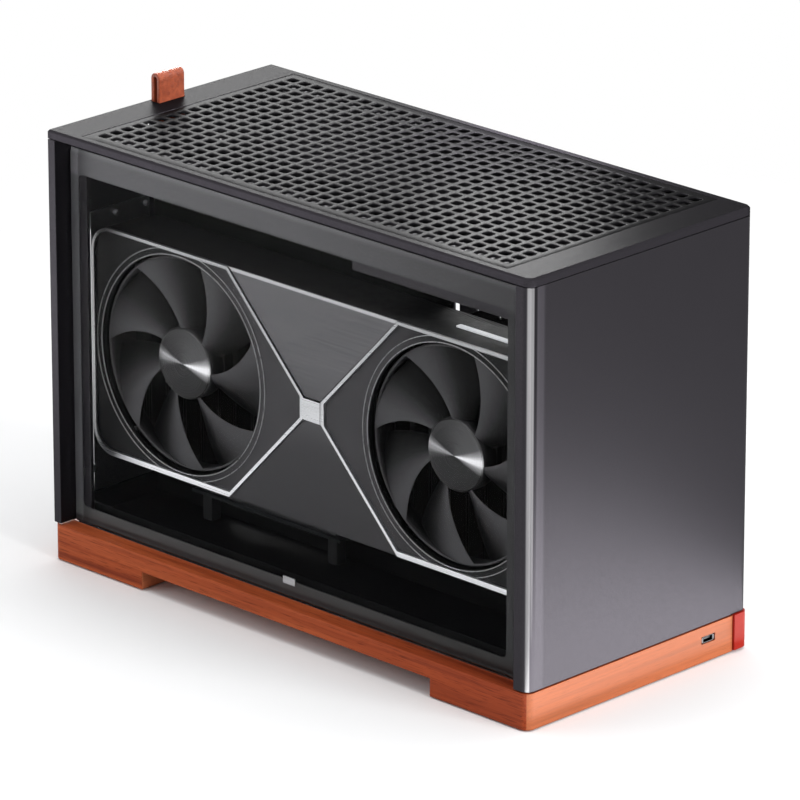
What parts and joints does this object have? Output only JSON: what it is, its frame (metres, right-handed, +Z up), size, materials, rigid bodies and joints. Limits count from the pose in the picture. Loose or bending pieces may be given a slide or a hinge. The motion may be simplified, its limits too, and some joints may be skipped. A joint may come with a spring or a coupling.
{
  "type": "mini-itx pc case",
  "caption": "Compact desktop computer case with a wooden plinth, perforated lid, leather pull tab, glass side and a graphics card with fans behind it.",
  "frame": {"origin": "middle of the outer box, on the table under the rubber feet", "axes": "+X from the rear panel to the front panel, +Y from the glass side to the far side, +Z up"},
  "size_m": [0.3232, 0.152, 0.2366],
  "materials": {
    "wood": "oiled, fine straight grain",
    "rubber": "matte",
    "red_plastic": "satin",
    "black_plastic": "matte",
    "port_steel": "brushed",
    "board": "satin",
    "inner_steel": "matte black",
    "shell": "bead-blasted, anodised",
    "grille": "bead-blasted, anodised",
    "leather": "vegetable tanned",
    "glass": "tempered, lightly smoked",
    "border": "printed behind glass",
    "plate": "bare",
    "rail": "anodised",
    "brass": "bare",
    "card_black": "matte",
    "card_trim": "cast, bright satin",
    "card_panel": "satin, anodised",
    "fins": "black",
    "card_black_metal": "satin black",
    "light": "lit diffuser",
    "fan": "satin"
  },
  "bodies": {
    "case": {"wood_plinth": "wood", "rubber_feet": "rubber", "switch_body": "black_plastic", "usb_port": "port_steel", "usb_tongue": "black_plastic", "usb_board": "board", "base_tray": "inner_steel", "front_panel": "shell", "rear_panel": "shell", "glass_side_rail": "rail", "far_side_rail": "rail", "spine": "inner_steel", "standoffs": "brass", "psu_bracket": "inner_steel", "power_inlet": "black_plastic", "inlet_pins": "brass", "card_shroud": "card_black", "card_trim": "card_trim", "card_panels": "card_panel", "card_fins": "fins", "card_board": "board", "card_backplate": "card_black_metal", "card_bracket": "port_steel", "card_ports": "port_steel", "card_light_bar": "light", "fan_motors": "black_plastic", "riser_slot": "black_plastic", "riser_board": "board", "riser_posts": "black_plastic"},
    "lid": {"top_cover": "shell", "top_mesh": "grille", "leather_tab": "leather"},
    "glass_door": {"glass_panel": "glass", "glass_border": "border", "bare_badge": "plate", "glass_pegs": "black_plastic"},
    "side_door": {"side_panel": "shell", "side_pegs": "black_plastic"},
    "left_rotor": {"left_fan": "fan"},
    "right_rotor": {"right_fan": "fan"},
    "key": {"power_button": "red_plastic"}
  },
  "joints": [
    {"name": "lid_lift", "type": "slide", "parent": "case", "child": "lid", "axis": [0, 0, 1], "range_m": [0, 0.06]},
    {"name": "glass_pull", "type": "slide", "parent": "case", "child": "glass_door", "axis": [0, -1, 0], "range_m": [0, 0.04]},
    {"name": "side_pull", "type": "slide", "parent": "case", "child": "side_door", "axis": [0, 1, 0], "range_m": [0, 0.04]},
    {"name": "left_fan_turn", "type": "hinge", "parent": "case", "child": "left_rotor", "pos_m": [-0.0924, -0.048, 0.11295], "axis": [0, 1, 0], "continuous": true},
    {"name": "right_fan_turn", "type": "hinge", "parent": "case", "child": "right_rotor", "pos_m": [0.0904, -0.048, 0.11295], "axis": [0, 1, 0], "continuous": true},
    {"name": "key_press", "type": "slide", "parent": "case", "child": "key", "axis": [-1, 0, 0], "range_m": [0, 0.0015], "stiffness_N_per_m": 800, "springref_m": -0.001}
  ]
}
